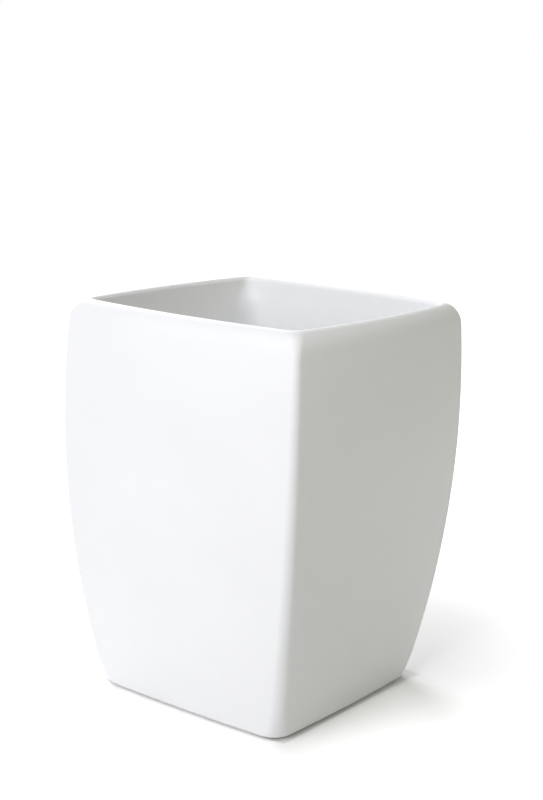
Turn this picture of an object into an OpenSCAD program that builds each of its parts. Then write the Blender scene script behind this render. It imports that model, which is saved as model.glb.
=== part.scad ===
// Bathroom tumbler: a square, barrel-sided cup of glazed ceramic on four non-slip pads.
// Lengths are millimetres. +Z is up, and the origin lies under the centre of the cup,
// on the surface that it stands on.

/* [Overall size] */
// Height from the surface it stands on to the top of the lip
height = 106; // [92:1:150]
// Width across the middles of two opposite walls, where the cup is widest
belly_width = 80; // [68:0.5:110]
// Height of the widest level
belly_height = 86; // [60:1:92]
// Width across the middles of two opposite walls, at the foot
foot_width = 62; // [50:0.5:76]

/* [Wall] */
// Thickness of the wall, measured level
wall_thickness = 4.5; // [3.2:0.1:7]
// Thickness of the floor under the inside
floor_thickness = 6.5; // [4:0.5:12]
// How far the middle of a wall bows out past its corners, at the foot
foot_bow = 0.8; // [0.4:0.1:3]
// How far the middle of a wall bows out past its corners, at the rim
rim_bow = 2.7; // [0.6:0.1:5]

/* [Edges] */
// Radius of the upright corner low on the wall, which runs evenly to the one under the lip
corner_radius = 3.4; // [1.6:0.1:6]
// Radius of the upright corner where the lip's rounding starts
rim_corner_radius = 2; // [1.4:0.1:5]
// Radius of the upright corner on top of the lip
lip_corner_radius = 3.4; // [1.4:0.1:6]
// Radius of the upright corner at the foot
foot_corner_radius = 6; // [3:0.2:12]
// Height over which the rounder corner of the foot runs out
toe_height = 9; // [8:1:40]
// Rounding of the edge under the foot
foot_edge_radius = 1.4; // [0.4:0.1:2.5]
// Depth of the lip's soft outer rounding, from the top of the lip down the outside
lip_depth = 5; // [3:0.5:12]
// Radius of the lip towards the inside
lip_inner_round = 1.2; // [0.6:0.1:2.2]

/* [Inside] */
// Radius of the upright corner inside the cup
inner_corner_radius = 7; // [3:0.5:12]
// Depth below the lip at which the inner corner reaches that radius
inner_corner_depth = 7; // [3:0.5:20]
// Rounding between the inner wall and the floor
inner_floor_radius = 8; // [3:0.5:12]

/* [Foot] */
// Diameter of a non-slip pad
pad_diameter = 9; // [6:0.5:12]
// Thickness of a non-slip pad
pad_thickness = 1.3; // [0.9:0.1:2.5]
// How far a pad stands out of the foot
pad_stand = 0.5; // [0.2:0.1:0.8]
// Rounding of a pad's lower edge
pad_edge_radius = 0.3; // [0.1:0.05:0.5]
// Free space round a pad in its seat
pad_clearance = 0.25; // [0.1:0.05:0.6]
// Width of ceramic between a pad's seat and the edge of the foot
pad_margin = 3.5; // [2:0.5:6]
// Diameter of the shallow hollow in the middle of the foot
relief_diameter = 30; // [16:1:34]
// Depth of that hollow
relief_depth = 0.9; // [0.3:0.1:2]

/* [Hidden] */
$fn = 48;

ceramic_colour = [0.95, 0.955, 0.96];
pad_colour = [0.82, 0.83, 0.83];

// Steps along the curves
side_steps = 8;
corner_steps = 8;
foot_edge_steps = 3;
toe_steps = 6;
wall_steps = 20;
lip_steps = 8;
lip_inner_steps = 4;
neck_steps = 5;
inner_wall_steps = 12;
floor_steps = 6;
pad_edge_steps = 5;

// A cut runs this far past the face that it opens in
overrun = pad_stand;

// The middle of a wall follows one upright arc, which is tangent to the vertical at the
// widest level and passes through the edge of the foot
arc_rise = belly_height - pad_stand;
arc_reach = (belly_width - foot_width) / 2;
arc_radius = (arc_rise * arc_rise + arc_reach * arc_reach) / (2 * arc_reach);

lip_outer_round = wall_thickness - lip_inner_round;
lip_bottom = height - lip_depth;
neck_top = height - lip_inner_round;
floor_top = pad_stand + floor_thickness;
seat_depth = pad_thickness - pad_stand;
seat_diameter = pad_diameter + 2 * pad_clearance;

// A seat's centre lies on the foot's diagonal, its rim one margin inside the rounded corner
foot_corner_centre = foot_width / 2 - foot_bow - foot_corner_radius;
seat_reach = foot_corner_radius - pad_margin - seat_diameter / 2;
pad_place = foot_corner_centre + seat_reach * cos(45);

function mix(from, to, share) = from + (to - from) * share;
function clamp_share(value) = max(0, min(1, value));
function ease(share) = share * share * (3 - 2 * share);

// Half the width at the middle of a wall, and how far that middle bows out, at one height
function half_width(z) = belly_width / 2 - arc_radius
    + sqrt(arc_radius * arc_radius - (z - belly_height) * (z - belly_height));
function bow(z) = mix(foot_bow, rim_bow, (z / height) * (z / height));

// Radius of the outer upright corner at one height
function toe_share(z) = clamp_share(1 - z / toe_height);
function outer_corner(z) =
    let (plain = mix(corner_radius, rim_corner_radius, z / lip_bottom))
    mix(plain, foot_corner_radius, toe_share(z) * toe_share(z));

// Radius of the inner upright corner at one height
function inner_corner(z) =
    mix(lip_corner_radius, inner_corner_radius, ease(clamp_share((neck_top - z) / inner_corner_depth)));

// One level outline, as a square with bowed sides and rounded corners. Its sides lie one
// inset inside the outer wall. Each side is an arc round a centre on the X or Y axis, and
// each corner is an arc tangent to two sides, with its centre on the diagonal.
function outline(z, inset, corner) =
    let (
        corner_half = half_width(z) - bow(z),
        side_radius = (corner_half * corner_half + bow(z) * bow(z)) / (2 * bow(z)),
        side_centre = half_width(z) - side_radius,
        reach = side_radius - inset - corner,
        corner_centre = (side_centre + sqrt(2 * reach * reach - side_centre * side_centre)) / 2,
        meet = atan2(corner_centre, corner_centre - side_centre),
        side = [for (i = [0 : side_steps - 1])
            let (angle = mix(-meet, meet, i / side_steps))
            [side_centre + (side_radius - inset) * cos(angle), (side_radius - inset) * sin(angle)]],
        bend = [for (i = [0 : corner_steps - 1])
            let (angle = mix(meet, 90 - meet, i / corner_steps))
            [corner_centre + corner * cos(angle), corner_centre + corner * sin(angle)]],
        quarter = concat(side, bend)
    )
    [for (turn = [0 : 90 : 270]) for (p = quarter)
        [p.x * cos(turn) - p.y * sin(turn), p.x * sin(turn) + p.y * cos(turn), z]];

// The outlines of the whole shell in order: up the outside, over the lip, down the inside
foot_edge = [for (i = [0 : foot_edge_steps])
    let (angle = 90 * i / foot_edge_steps, z = pad_stand + foot_edge_radius * (1 - cos(angle)))
    outline(z, foot_edge_radius * (1 - sin(angle)), outer_corner(z))];

toe_start = pad_stand + foot_edge_radius;
toe_top = pad_stand + toe_height;
toe = [for (i = [1 : toe_steps])
    let (z = mix(toe_start, toe_top, i / toe_steps))
    outline(z, 0, outer_corner(z))];

outer_wall = [for (i = [1 : wall_steps])
    let (z = mix(toe_top, lip_bottom, i / wall_steps))
    outline(z, 0, outer_corner(z))];

lip_outside = [for (i = [1 : lip_steps])
    let (angle = 90 * i / lip_steps)
    outline(lip_bottom + lip_depth * sin(angle), lip_outer_round * (1 - cos(angle)),
        mix(rim_corner_radius, lip_corner_radius, sin(angle)))];

lip_inside = [for (i = [1 : lip_inner_steps])
    let (angle = 90 * i / lip_inner_steps)
    outline(neck_top + lip_inner_round * cos(angle), lip_outer_round + lip_inner_round * sin(angle),
        lip_corner_radius)];

neck_bottom = neck_top - inner_corner_depth;
neck = [for (i = [1 : neck_steps])
    let (z = mix(neck_top, neck_bottom, i / neck_steps))
    outline(z, wall_thickness, inner_corner(z))];

inner_wall_bottom = floor_top + inner_floor_radius;
inner_wall = [for (i = [1 : inner_wall_steps])
    let (z = mix(neck_bottom, inner_wall_bottom, i / inner_wall_steps))
    outline(z, wall_thickness, inner_corner_radius)];

inner_floor = [for (i = [1 : floor_steps])
    let (angle = 90 * i / floor_steps)
    outline(inner_wall_bottom - inner_floor_radius * sin(angle),
        wall_thickness + inner_floor_radius * (1 - cos(angle)), inner_corner_radius)];

outlines = concat(foot_edge, toe, outer_wall, lip_outside, lip_inside, neck, inner_wall, inner_floor);

// A closed skin through outlines that all have as many points
module loft(levels) {
    count = len(levels[0]);
    last = len(levels) - 1;
    bottom_cap = [[for (j = [0 : count - 1]) j]];
    top_cap = [[for (j = [count - 1 : -1 : 0]) last * count + j]];
    skin = [for (i = [0 : last - 1]) for (j = [0 : count - 1])
        let (a = i * count + j, b = i * count + (j + 1) % count)
        each [[a, a + count, b + count], [a, b + count, b]]];
    polyhedron([for (level = levels) each level], concat(bottom_cap, skin, top_cap), convexity = 4);
}

// The seat of one pad, sunk into the foot
module pad_seat() {
    translate([0, 0, pad_stand - overrun])
        cylinder(d = seat_diameter, h = seat_depth + overrun);
}

// The hollow in the middle of the foot, with a sloped edge as wide as it is deep
module relief() {
    mouth = relief_diameter / 2;
    rotate_extrude()
        polygon([
            [0, pad_stand - overrun],
            [mouth, pad_stand - overrun],
            [mouth, pad_stand],
            [mouth - relief_depth, pad_stand + relief_depth],
            [0, pad_stand + relief_depth]
        ]);
}

// Moves its children to the pad on one side in X and one side in Y
module at_pad(x_side, y_side) {
    translate([x_side * pad_place, y_side * pad_place, 0])
        children();
}

// The ceramic cup
module body() {
    color(ceramic_colour)
        difference() {
            loft(outlines);
            relief();
            for (x_side = [-1, 1], y_side = [-1, 1])
                at_pad(x_side, y_side) pad_seat();
        }
}

// One pad: a flat disc whose lower edge is rounded
module pad() {
    rim = pad_diameter / 2;
    arc_points = [for (i = [0 : pad_edge_steps])
        let (angle = 90 * i / pad_edge_steps)
        [rim - pad_edge_radius * (1 - sin(angle)), pad_edge_radius * (1 - cos(angle))]];
    color(pad_colour)
        rotate_extrude()
            polygon(concat([[0, 0]], arc_points, [[rim, pad_thickness], [0, pad_thickness]]));
}

module pad_front_left() { at_pad(-1, -1) pad(); }
module pad_front_right() { at_pad(1, -1) pad(); }
module pad_back_left() { at_pad(-1, 1) pad(); }
module pad_back_right() { at_pad(1, 1) pad(); }

body();
pad_front_left();
pad_front_right();
pad_back_left();
pad_back_right();
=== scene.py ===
import math

import bmesh
import bpy
from mathutils import Matrix, Vector


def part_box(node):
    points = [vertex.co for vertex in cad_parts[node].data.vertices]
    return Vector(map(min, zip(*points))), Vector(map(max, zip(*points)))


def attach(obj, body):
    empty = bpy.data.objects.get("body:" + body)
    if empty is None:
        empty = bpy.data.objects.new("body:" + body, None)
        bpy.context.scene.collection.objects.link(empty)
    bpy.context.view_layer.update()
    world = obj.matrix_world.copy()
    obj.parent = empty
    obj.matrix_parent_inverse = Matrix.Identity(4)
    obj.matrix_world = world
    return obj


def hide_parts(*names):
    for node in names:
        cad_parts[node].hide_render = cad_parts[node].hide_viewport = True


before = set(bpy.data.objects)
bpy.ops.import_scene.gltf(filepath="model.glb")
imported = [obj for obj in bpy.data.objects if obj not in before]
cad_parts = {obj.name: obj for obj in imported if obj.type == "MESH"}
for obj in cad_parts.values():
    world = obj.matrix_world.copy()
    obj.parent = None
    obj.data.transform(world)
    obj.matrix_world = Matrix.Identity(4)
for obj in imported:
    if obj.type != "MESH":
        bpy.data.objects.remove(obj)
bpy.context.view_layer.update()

# Lengths are in metres, and MM turns one that is written in millimetres into metres
MM = 0.001

# Sizes that the frame gives
body_low, body_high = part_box("body")
HEIGHT = body_high.z
BELLY_WIDTH = body_high.x - body_low.x
PAD_STAND = body_low.z
PAD_NODES = ["pad_front_left", "pad_front_right", "pad_back_left", "pad_back_right"]

# Form of the cup, which repeats the sizes of the solid that it stands for
BELLY_HEIGHT = 86 * MM
FOOT_WIDTH = 62 * MM
WALL_THICKNESS = 4.5 * MM
FLOOR_THICKNESS = 6.5 * MM
FOOT_BOW = 0.8 * MM
RIM_BOW = 2.7 * MM
# Radius of the outer corners low on the wall, under the lip, on top of it and at the foot
CORNER_RADIUS = 3.4 * MM
RIM_CORNER_RADIUS = 2 * MM
LIP_CORNER_RADIUS = 3.4 * MM
FOOT_CORNER_RADIUS = 6 * MM
# Height over which the foot's corners change into the wall's
TOE_HEIGHT = 9 * MM
FOOT_EDGE_RADIUS = 1.4 * MM
LIP_INNER_ROUND = 1.2 * MM
LIP_DEPTH = 5 * MM
INNER_CORNER_RADIUS = 7 * MM
# Depth below the lip at which the inner corners reach their radius
INNER_CORNER_DEPTH = 7 * MM
INNER_FLOOR_RADIUS = 8 * MM

# Underside: the pads, their seats and the shallow round hollow, with softened edges
PAD_CLEARANCE = 0.25 * MM
PAD_EDGE_RADIUS = 0.3 * MM
SEAT_EDGE_ROUND = 0.12 * MM
RELIEF_DIAMETER = 30 * MM
RELIEF_DEPTH = 0.9 * MM
RELIEF_EDGE_ROUND = 0.5 * MM

# Steps along the curves of the cup, counted for one quarter or one stretch
SIDE_STEPS = 28
CORNER_STEPS = 14
FOOT_EDGE_STEPS = 8
TOE_STEPS = 20
WALL_STEPS = 56
LIP_STEPS = 18
LIP_INNER_STEPS = 10
NECK_STEPS = 12
INNER_WALL_STEPS = 44
FLOOR_ROUND_STEPS = 16

# Points round the pads and hollows, and steps along their edges
PAD_POINTS = 64
SEAT_POINTS = 48
RELIEF_POINTS = 96
PAD_EDGE_STEPS = 6
SEAT_EDGE_STEPS = 4
RELIEF_EDGE_STEPS = 12

# Steps from a level ring in to its middle, where the ring is filled
FILL_STEPS = 6

# Each noise is a wavelength, the number of finer layers on it and the strength of those
GLAZE_DRIFT = (30 * MM, 2, 0.5)
GLAZE_RIPPLE = (2.2 * MM, 2, 0.5)
GLAZE_GRAIN = (0.35 * MM, 3, 0.5)
CLAY_DRIFT = (9 * MM, 3, 0.5)
CLAY_GRAIN = (0.25 * MM, 4, 0.7)
RUBBER_DRIFT = (3 * MM, 2, 0.5)
RUBBER_GRAIN = (0.2 * MM, 3, 0.5)
# The middle range of a noise, which each material spreads over a range of its own
NOISE_LOW = 0.3
NOISE_HIGH = 0.7

# Each pair is what the low and the high end of a noise turn into
GLAZE_COLOURS = ((0.885, 0.89, 0.89), (0.91, 0.915, 0.915))
GLAZE_ROUGHNESS = (0.47, 0.55)
CLAY_COLOURS = ((0.76, 0.74, 0.7), (0.83, 0.81, 0.775))
CLAY_ROUGHNESS = (0.72, 0.92)
RUBBER_COLOURS = ((0.68, 0.69, 0.69), (0.74, 0.75, 0.75))
RUBBER_ROUGHNESS = (0.5, 0.62)

# Depths of the bumps, and how strongly the glaze bends light
GLAZE_RIPPLE_DEPTH = 0.006 * MM
GLAZE_GRAIN_DEPTH = 0.0015 * MM
CLAY_GRAIN_DEPTH = 0.02 * MM
RUBBER_GRAIN_DEPTH = 0.008 * MM
GLAZE_IOR = 1.5

# Floor and background
WHITE = (1, 1, 1, 1)
FLOOR_SIZE = 8.0
FLOOR_COLOUR = (0.91, 0.91, 0.905, 1)
FLOOR_ROUGHNESS = 0.9
FLOOR_SPECULAR = 0.1

# Painted light of the floor's own, which only the camera and reflections see. There is none under the cup,
# save for a strip at its front. It grows quickly beside the foot and slowly to plain white further out.
# The shade round the foot is partly the lamps' real shadow and partly painted shade, where this light is
# held back.
NEAR_LIFT = 0.16
NEAR_LIFT_REACH = 2.4 * MM
FAR_LIFT = 0.84
FAR_LIFT_REACH = 174 * MM
# The painted light grows this many times as quickly in front of the cup as behind it, where the lamps'
# shadow falls, so the shade behind is partly painted
LIFT_PACE_IN_FRONT = 5.4
LIFT_PACE_BEHIND = 1
LIFT_PACE_SPAN = 93 * MM
# The painted light is measured from the foot's square moved this far back, which makes the strip of painted
# light at the front
LIFT_SHIFT = 2.5 * MM

# Each softbox has a name, an azimuth and an elevation in degrees, a distance from the cup's middle,
# a size, a power in watts and a colour. Azimuth 0 is the cup's front, its -Y side.
SOFTBOXES = (
    ("front_key", 0, 20, 1.2, 0.6, 6.32, (0.975, 0.965, 1.0)),
    ("upper_fill", 5, 55, 0.55, 0.35, 1.4, (0.965, 0.975, 1.0)),
    ("right_side", 110, 30, 0.55, 0.35, 0.57, (1.0, 0.98, 0.82)),
    ("left_back", 240, 30, 0.55, 0.35, 2.3, (0.95, 0.975, 1.0)),
)

# Camera, fitted to the outline of the cup in the photograph, whose frame is 543 by 800 pixels
IMAGE_LONG_SIDE = 800
FOCAL_LENGTH_PX = 1539
CAMERA_AZIMUTH = 37.2
CAMERA_ELEVATION = 12.1
CAMERA_ROLL = 1.97
CAMERA_DISTANCE = 410.3 * MM
CAMERA_CLIP_START = 10 * MM
AIM_HEIGHT = 79.2 * MM
AIM_TO_THE_RIGHT = 1.53 * MM

# The middle of a wall follows one upright arc, tangent to the vertical at the widest level
arc_rise = BELLY_HEIGHT - PAD_STAND
arc_reach = (BELLY_WIDTH - FOOT_WIDTH) / 2
arc_radius = (arc_rise ** 2 + arc_reach ** 2) / (2 * arc_reach)

# Levels and depths along the section of the wall
toe_top = PAD_STAND + TOE_HEIGHT
lip_bottom = HEIGHT - LIP_DEPTH
lip_outer_round = WALL_THICKNESS - LIP_INNER_ROUND
neck_top = HEIGHT - LIP_INNER_ROUND
neck_bottom = neck_top - INNER_CORNER_DEPTH
inner_wall_bottom = PAD_STAND + FLOOR_THICKNESS + INNER_FLOOR_RADIUS


def mix(low, high, share):
    return low + (high - low) * share


def clamp_share(value):
    return max(0.0, min(1.0, value))


def ease(share):
    return share * share * (3 - 2 * share)


def shares(steps):
    """The ends of each of so many equal steps from 0 to 1, without the 0."""
    return [i / steps for i in range(1, steps + 1)]


def quarter_turn(steps):
    """The angles at the ends of each of so many equal steps of a quarter turn, without the 0."""
    return [math.pi / 2 * share for share in shares(steps)]


def half_width(z):
    """From the cup's axis to the middle of a wall."""
    return BELLY_WIDTH / 2 - arc_radius + math.sqrt(arc_radius ** 2 - (z - BELLY_HEIGHT) ** 2)


def bow(z):
    """How far the middle of a wall stands out past its corners."""
    return mix(FOOT_BOW, RIM_BOW, (z / HEIGHT) ** 2)


def outer_corner(z):
    plain = mix(CORNER_RADIUS, RIM_CORNER_RADIUS, z / lip_bottom)
    return mix(plain, FOOT_CORNER_RADIUS, clamp_share(1 - z / TOE_HEIGHT) ** 2)


def inner_corner(z):
    share = clamp_share((neck_top - z) / INNER_CORNER_DEPTH)
    return mix(LIP_CORNER_RADIUS, INNER_CORNER_RADIUS, ease(share))


def outline(z, inset, corner):
    """A level outline: a square with bowed sides and rounded corners, one inset inside the wall."""
    corner_half = half_width(z) - bow(z)
    side_radius = (corner_half ** 2 + bow(z) ** 2) / (2 * bow(z))
    side_centre = half_width(z) - side_radius
    reach = side_radius - inset - corner
    corner_centre = (side_centre + math.sqrt(2 * reach ** 2 - side_centre ** 2)) / 2
    meet = math.atan2(corner_centre, corner_centre - side_centre)
    radius = side_radius - inset
    quarter = []
    for i in range(SIDE_STEPS):
        angle = mix(-meet, meet, i / SIDE_STEPS)
        quarter.append((side_centre + radius * math.cos(angle), radius * math.sin(angle)))
    for i in range(CORNER_STEPS):
        angle = mix(meet, math.pi / 2 - meet, i / CORNER_STEPS)
        quarter.append((corner_centre + corner * math.cos(angle), corner_centre + corner * math.sin(angle)))
    points = []
    for turn in ((1, 0), (0, 1), (-1, 0), (0, -1)):
        points += [Vector((x * turn[0] - y * turn[1], x * turn[1] + y * turn[0], z)) for x, y in quarter]
    return points


def shell_outlines():
    """The cup's level outlines in order: up the outside, over the lip, down the inside."""
    levels = []
    for angle in [0.0] + quarter_turn(FOOT_EDGE_STEPS):
        z = PAD_STAND + FOOT_EDGE_RADIUS * (1 - math.cos(angle))
        levels.append(outline(z, FOOT_EDGE_RADIUS * (1 - math.sin(angle)), outer_corner(z)))
    for low, high, steps in (
        (PAD_STAND + FOOT_EDGE_RADIUS, toe_top, TOE_STEPS),
        (toe_top, lip_bottom, WALL_STEPS),
    ):
        for share in shares(steps):
            z = mix(low, high, share)
            levels.append(outline(z, 0, outer_corner(z)))
    for angle in quarter_turn(LIP_STEPS):
        z = lip_bottom + LIP_DEPTH * math.sin(angle)
        corner = mix(RIM_CORNER_RADIUS, LIP_CORNER_RADIUS, math.sin(angle))
        levels.append(outline(z, lip_outer_round * (1 - math.cos(angle)), corner))
    for angle in quarter_turn(LIP_INNER_STEPS):
        z = neck_top + LIP_INNER_ROUND * math.cos(angle)
        levels.append(outline(z, lip_outer_round + LIP_INNER_ROUND * math.sin(angle), LIP_CORNER_RADIUS))
    for high, low, steps in (
        (neck_top, neck_bottom, NECK_STEPS),
        (neck_bottom, inner_wall_bottom, INNER_WALL_STEPS),
    ):
        for share in shares(steps):
            z = mix(high, low, share)
            levels.append(outline(z, WALL_THICKNESS, inner_corner(z)))
    for angle in quarter_turn(FLOOR_ROUND_STEPS):
        z = inner_wall_bottom - INNER_FLOOR_RADIUS * math.sin(angle)
        inset = WALL_THICKNESS + INNER_FLOOR_RADIUS * (1 - math.cos(angle))
        levels.append(outline(z, inset, INNER_CORNER_RADIUS))
    return levels


def circle(centre, radius, z, count):
    angles = [2 * math.pi * i / count for i in range(count)]
    return [Vector((centre.x + radius * math.cos(a), centre.y + radius * math.sin(a), z)) for a in angles]


def add_ring(mesh, points):
    return [mesh.verts.new(p) for p in points]


def join_rings(mesh, first, second):
    """A band of four-sided faces between two rings of as many points."""
    count = len(first)
    for j in range(count):
        k = (j + 1) % count
        mesh.faces.new((first[j], first[k], second[k], second[j]))


def add_bands(mesh, rings):
    """A band of faces from each ring to the next."""
    for first, second in zip(rings, rings[1:]):
        join_rings(mesh, first, second)


def fill_ring(mesh, ring):
    """Fills a level ring with smaller rings and a fan, so that it shades evenly."""
    middle = sum((v.co for v in ring), Vector()) / len(ring)
    last = ring
    for share in shares(FILL_STEPS)[:-1]:
        inner = add_ring(mesh, [v.co.lerp(middle, share) for v in ring])
        join_rings(mesh, last, inner)
        last = inner
    hub = mesh.verts.new(middle)
    for j, vert in enumerate(last):
        mesh.faces.new((vert, last[(j + 1) % len(last)], hub))


def ring_edges(mesh, ring):
    return [mesh.edges.get(pair) for pair in zip(ring, ring[1:] + ring[:1])]


def add_hollow(mesh, centre, profile, count):
    """A round hollow in the foot. Its profile runs from the mouth inwards, as (radius, z)."""
    rings = [add_ring(mesh, circle(centre, radius, z, count)) for radius, z in profile]
    add_bands(mesh, rings)
    fill_ring(mesh, rings[-1])
    return rings[0]


def seat_profile(diameter, depth):
    """A straight seat with a softened mouth."""
    radius = diameter / 2
    profile = []
    for angle in [0.0] + quarter_turn(SEAT_EDGE_STEPS):
        profile.append((
            radius + SEAT_EDGE_ROUND * (1 - math.sin(angle)),
            PAD_STAND + SEAT_EDGE_ROUND * (1 - math.cos(angle)),
        ))
    profile.append((radius, PAD_STAND + depth))
    return profile


def relief_profile():
    """A shallow dish whose sloped edge is rounded where it leaves the foot and where it meets the floor."""
    mouth = RELIEF_DIAMETER / 2
    profile = []
    for share in [0.0] + shares(RELIEF_EDGE_STEPS):
        radius = mouth + RELIEF_EDGE_ROUND - (RELIEF_DEPTH + 2 * RELIEF_EDGE_ROUND) * share
        profile.append((radius, PAD_STAND + RELIEF_DEPTH * ease(share)))
    return profile


def finish_mesh(name, mesh, slots):
    """Turns the mesh into an object, outward faces first, with its materials."""
    bmesh.ops.recalc_face_normals(mesh, faces=mesh.faces)
    data = bpy.data.meshes.new(name)
    mesh.to_mesh(data)
    mesh.free()
    for material in slots:
        data.materials.append(material)
    piece = bpy.data.objects.new(name, data)
    bpy.context.scene.collection.objects.link(piece)
    return piece


def pad_centre(node):
    low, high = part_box(node)
    return (low + high) / 2


def make_cup(glaze, bare_clay):
    """The glazed shell, closed underneath by the bare foot with its hollows."""
    slots = (glaze, bare_clay)
    mesh = bmesh.new()
    rings = [add_ring(mesh, level) for level in shell_outlines()]
    add_bands(mesh, rings)
    fill_ring(mesh, rings[-1])
    shell_faces = len(mesh.faces)

    mouths = [add_hollow(mesh, Vector((0, 0, 0)), relief_profile(), RELIEF_POINTS)]
    for node in PAD_NODES:
        low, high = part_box(node)
        seat = seat_profile(high.x - low.x + 2 * PAD_CLEARANCE, high.z - PAD_STAND)
        mouths.append(add_hollow(mesh, pad_centre(node), seat, SEAT_POINTS))
    for face in mesh.faces:
        face.smooth = True
    edges = ring_edges(mesh, rings[0])
    for mouth in mouths:
        edges += ring_edges(mesh, mouth)
    bmesh.ops.triangle_fill(mesh, edges=edges, use_beauty=True)
    mesh.faces.ensure_lookup_table()
    for face in mesh.faces[shell_faces:]:
        face.material_index = slots.index(bare_clay)
    return finish_mesh("ceramic_cup", mesh, slots)


def make_pad(node, rubber):
    """One self-adhesive pad, turned round its own middle."""
    low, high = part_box(node)
    radius = (high.x - low.x) / 2
    profile = [
        (radius - PAD_EDGE_RADIUS, high.z),
        (radius, high.z - PAD_EDGE_RADIUS / 2),
        (radius, low.z + PAD_EDGE_RADIUS),
    ]
    for angle in quarter_turn(PAD_EDGE_STEPS):
        profile.append((
            radius - PAD_EDGE_RADIUS * (1 - math.cos(angle)),
            low.z + PAD_EDGE_RADIUS * (1 - math.sin(angle)),
        ))
    mesh = bmesh.new()
    rings = [add_ring(mesh, circle(pad_centre(node), r, z, PAD_POINTS)) for r, z in profile]
    add_bands(mesh, rings)
    fill_ring(mesh, rings[0])
    fill_ring(mesh, rings[-1])
    for face in mesh.faces:
        face.smooth = True
    return finish_mesh(node.replace("pad", "bumper"), mesh, (rubber,))


def new_material(name):
    """A material with its shader and its node tree's nodes and links."""
    material = bpy.data.materials.new(name)
    material.use_nodes = True
    nodes = material.node_tree.nodes
    links = material.node_tree.links
    return material, nodes["Principled BSDF"], nodes, links


def add_noise(nodes, links, wavelength, detail, roughness):
    """Noise in the part's own frame, whose blotches are about one wavelength across."""
    place = nodes.new("ShaderNodeTexCoord")
    noise = nodes.new("ShaderNodeTexNoise")
    noise.inputs["Scale"].default_value = 1 / wavelength
    noise.inputs["Detail"].default_value = detail
    noise.inputs["Roughness"].default_value = roughness
    links.new(place.outputs["Object"], noise.inputs["Vector"])
    return noise.outputs["Fac"]


def map_noise(nodes, links, noise, low, high):
    """Spreads the noise's middle range over low to high."""
    spread = nodes.new("ShaderNodeMapRange")
    spread.inputs["From Min"].default_value = NOISE_LOW
    spread.inputs["From Max"].default_value = NOISE_HIGH
    spread.inputs["To Min"].default_value = low
    spread.inputs["To Max"].default_value = high
    links.new(noise, spread.inputs["Value"])
    return spread.outputs["Result"]


def mix_colours(nodes, links, noise, first, second):
    blend = nodes.new("ShaderNodeMix")
    blend.data_type = "RGBA"
    blend.inputs["A"].default_value = (*first, 1)
    blend.inputs["B"].default_value = (*second, 1)
    links.new(map_noise(nodes, links, noise, 0, 1), blend.inputs["Factor"])
    return blend.outputs["Result"]


def add_bump(nodes, links, height, depth, normal=None):
    bump = nodes.new("ShaderNodeBump")
    bump.inputs["Strength"].default_value = 1
    bump.inputs["Distance"].default_value = depth
    links.new(height, bump.inputs["Height"])
    if normal:
        links.new(normal, bump.inputs["Normal"])
    return bump.outputs["Normal"]


def glaze_material():
    """White satin glaze: soft gloss, a faint drift of tone and the fine ripple that a dipped glaze keeps."""
    material, shader, nodes, links = new_material("satin_white_glaze")
    drift = add_noise(nodes, links, *GLAZE_DRIFT)
    ripple = add_noise(nodes, links, *GLAZE_RIPPLE)
    grain = add_noise(nodes, links, *GLAZE_GRAIN)
    links.new(mix_colours(nodes, links, drift, *GLAZE_COLOURS), shader.inputs["Base Color"])
    links.new(map_noise(nodes, links, drift, *GLAZE_ROUGHNESS), shader.inputs["Roughness"])
    normal = add_bump(nodes, links, ripple, GLAZE_RIPPLE_DEPTH)
    normal = add_bump(nodes, links, grain, GLAZE_GRAIN_DEPTH, normal)
    links.new(normal, shader.inputs["Normal"])
    shader.inputs["IOR"].default_value = GLAZE_IOR
    return material


def bare_clay_material():
    """The unglazed foot: dry, slightly warm and finely grained."""
    material, shader, nodes, links = new_material("unglazed_foot")
    drift = add_noise(nodes, links, *CLAY_DRIFT)
    grain = add_noise(nodes, links, *CLAY_GRAIN)
    links.new(mix_colours(nodes, links, drift, *CLAY_COLOURS), shader.inputs["Base Color"])
    links.new(map_noise(nodes, links, grain, *CLAY_ROUGHNESS), shader.inputs["Roughness"])
    links.new(add_bump(nodes, links, grain, CLAY_GRAIN_DEPTH), shader.inputs["Normal"])
    return material


def rubber_material():
    """Matt pale grey silicone."""
    material, shader, nodes, links = new_material("pale_grey_silicone")
    drift = add_noise(nodes, links, *RUBBER_DRIFT)
    grain = add_noise(nodes, links, *RUBBER_GRAIN)
    links.new(mix_colours(nodes, links, drift, *RUBBER_COLOURS), shader.inputs["Base Color"])
    links.new(map_noise(nodes, links, grain, *RUBBER_ROUGHNESS), shader.inputs["Roughness"])
    links.new(add_bump(nodes, links, grain, RUBBER_GRAIN_DEPTH), shader.inputs["Normal"])
    return material


def seen_share(nodes, links):
    """1 where the camera, a reflection or a see-through ray looks, and 0 for the light itself."""
    path = nodes.new("ShaderNodeLightPath")
    total = path.outputs["Is Camera Ray"]
    for name in ("Is Glossy Ray", "Is Transmission Ray"):
        either = nodes.new("ShaderNodeMath")
        either.operation = "MAXIMUM"
        links.new(total, either.inputs[0])
        links.new(path.outputs[name], either.inputs[1])
        total = either.outputs["Value"]
    return total


def distance_from_foot(nodes, links):
    """How far a point of the floor lies outside the square of the foot, moved back by the shift."""
    vector = nodes.new("ShaderNodeTexCoord").outputs["Object"]
    for operation, other in (
        ("SUBTRACT", (0, LIFT_SHIFT, 0)),
        ("ABSOLUTE", None),
        ("SUBTRACT", (FOOT_WIDTH / 2, FOOT_WIDTH / 2, 0)),
        ("MAXIMUM", (0, 0, 0)),
    ):
        step = nodes.new("ShaderNodeVectorMath")
        step.operation = operation
        if other:
            step.inputs[1].default_value = other
        links.new(vector, step.inputs[0])
        vector = step.outputs["Vector"]
    length = nodes.new("ShaderNodeVectorMath")
    length.operation = "LENGTH"
    links.new(vector, length.inputs[0])
    return length.outputs["Value"]


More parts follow.
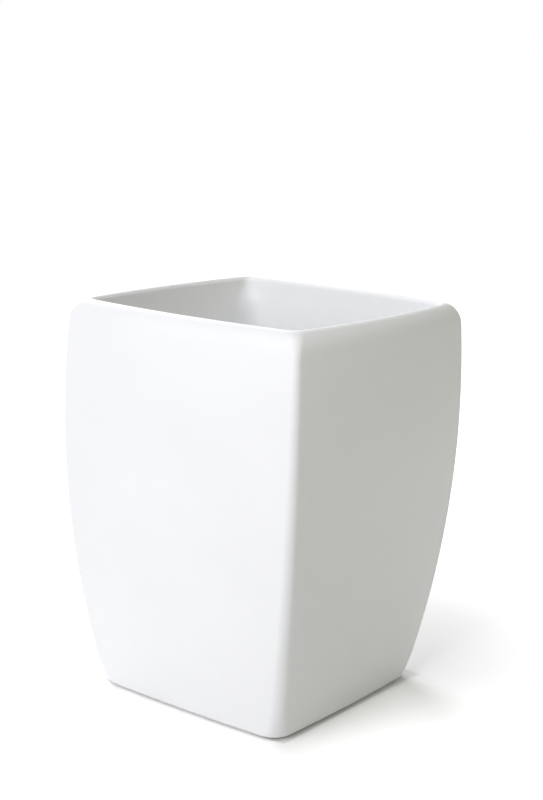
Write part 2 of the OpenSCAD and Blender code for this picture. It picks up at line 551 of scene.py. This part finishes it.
def painted_light_pace(nodes, links):
    """How quickly the painted floor light grows at a point of the floor, from the front of the cup to the
    back.
    """
    place = nodes.new("ShaderNodeSeparateXYZ")
    links.new(nodes.new("ShaderNodeTexCoord").outputs["Object"], place.inputs[0])
    pace = nodes.new("ShaderNodeMapRange")
    pace.interpolation_type = "SMOOTHSTEP"
    pace.inputs["From Min"].default_value = -LIFT_PACE_SPAN / 2
    pace.inputs["From Max"].default_value = LIFT_PACE_SPAN / 2
    pace.inputs["To Min"].default_value = LIFT_PACE_IN_FRONT
    pace.inputs["To Max"].default_value = LIFT_PACE_BEHIND
    links.new(place.outputs["Y"], pace.inputs["Value"])
    return pace.outputs["Result"]


def painted_floor_light(nodes, links):
    """The near and the far painted floor light together, each growing evenly over its reach. Round the foot,
    where it stays low, the shade is partly painted.
    """
    paced = nodes.new("ShaderNodeMath")
    paced.operation = "MULTIPLY"
    links.new(distance_from_foot(nodes, links), paced.inputs[0])
    links.new(painted_light_pace(nodes, links), paced.inputs[1])
    total = nodes.new("ShaderNodeMath")
    total.operation = "ADD"
    for i, (start, end, lift) in enumerate((
        (0, NEAR_LIFT_REACH, NEAR_LIFT),
        (NEAR_LIFT_REACH, FAR_LIFT_REACH, FAR_LIFT),
    )):
        part = nodes.new("ShaderNodeMapRange")
        part.inputs["From Min"].default_value = start
        part.inputs["From Max"].default_value = end
        part.inputs["To Max"].default_value = lift
        links.new(paced.outputs["Value"], part.inputs["Value"])
        links.new(part.outputs["Result"], total.inputs[i])
    return total.outputs["Value"]


def make_floor():
    """A large white floor, whose own painted light is seen and lights nothing."""
    mesh = bmesh.new()
    bmesh.ops.create_grid(mesh, x_segments=1, y_segments=1, size=FLOOR_SIZE / 2)
    material, shader, nodes, links = new_material("white_floor")
    shader.inputs["Base Color"].default_value = FLOOR_COLOUR
    shader.inputs["Roughness"].default_value = FLOOR_ROUGHNESS
    shader.inputs["Specular IOR Level"].default_value = FLOOR_SPECULAR
    shader.inputs["Emission Color"].default_value = WHITE
    # The floor's emission is painted light, held back round the foot so that the shade there is partly
    # painted shade
    strength = nodes.new("ShaderNodeMath")
    strength.operation = "MULTIPLY"
    links.new(painted_floor_light(nodes, links), strength.inputs[0])
    links.new(seen_share(nodes, links), strength.inputs[1])
    links.new(strength.outputs["Value"], shader.inputs["Emission Strength"])
    finish_mesh("floor", mesh, (material,))


def make_world():
    """A white background, which only the camera and reflections see."""
    world = bpy.data.worlds.new("studio")
    bpy.context.scene.world = world
    world.use_nodes = True
    nodes = world.node_tree.nodes
    links = world.node_tree.links
    nodes["Background"].inputs["Color"].default_value = WHITE
    links.new(seen_share(nodes, links), nodes["Background"].inputs["Strength"])


def direction(azimuth, elevation):
    """The way out from the cup's axis, as a vector of length 1. The angles are in degrees."""
    turn, rise = math.radians(azimuth), math.radians(elevation)
    return Vector((math.sin(turn) * math.cos(rise), -math.cos(turn) * math.cos(rise), math.sin(rise)))


def add_softbox(name, azimuth, elevation, distance, size, power, colour):
    """A square softbox that faces the middle of the cup."""
    away = direction(azimuth, elevation)
    lamp = bpy.data.lights.new(name, "AREA")
    lamp.shape = "SQUARE"
    lamp.size = size
    lamp.energy = power
    lamp.color = colour
    softbox = bpy.data.objects.new(name, lamp)
    softbox.location = Vector((0, 0, HEIGHT / 2)) + away * distance
    softbox.rotation_euler = away.to_track_quat("Z", "Y").to_euler()
    bpy.context.scene.collection.objects.link(softbox)


def make_camera():
    """The camera looks along minus back, towards a point beside the cup's axis, and is rolled a little."""
    data = bpy.data.cameras.new("camera")
    data.lens = FOCAL_LENGTH_PX * data.sensor_width / IMAGE_LONG_SIDE
    data.clip_start = CAMERA_CLIP_START
    turn, roll = math.radians(CAMERA_AZIMUTH), math.radians(CAMERA_ROLL)
    back = direction(CAMERA_AZIMUTH, CAMERA_ELEVATION)
    level = Vector((math.cos(turn), math.sin(turn), 0))
    upright = back.cross(level)
    right = level * math.cos(roll) + upright * math.sin(roll)
    up = upright * math.cos(roll) - level * math.sin(roll)
    place = Vector((0, 0, AIM_HEIGHT)) + right * AIM_TO_THE_RIGHT + back * CAMERA_DISTANCE
    camera = bpy.data.objects.new("camera", data)
    camera.matrix_world = Matrix.Translation(place) @ Matrix((right, up, back)).transposed().to_4x4()
    bpy.context.scene.collection.objects.link(camera)
    bpy.context.scene.camera = camera


cup = make_cup(glaze_material(), bare_clay_material())
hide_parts("body")
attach(cup, "root")

rubber = rubber_material()
for pad_node in PAD_NODES:
    pad = make_pad(pad_node, rubber)
    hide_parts(pad_node)
    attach(pad, "root")

make_floor()
make_world()
for softbox_values in SOFTBOXES:
    add_softbox(*softbox_values)
make_camera()
bpy.context.scene.view_settings.view_transform = "Standard"
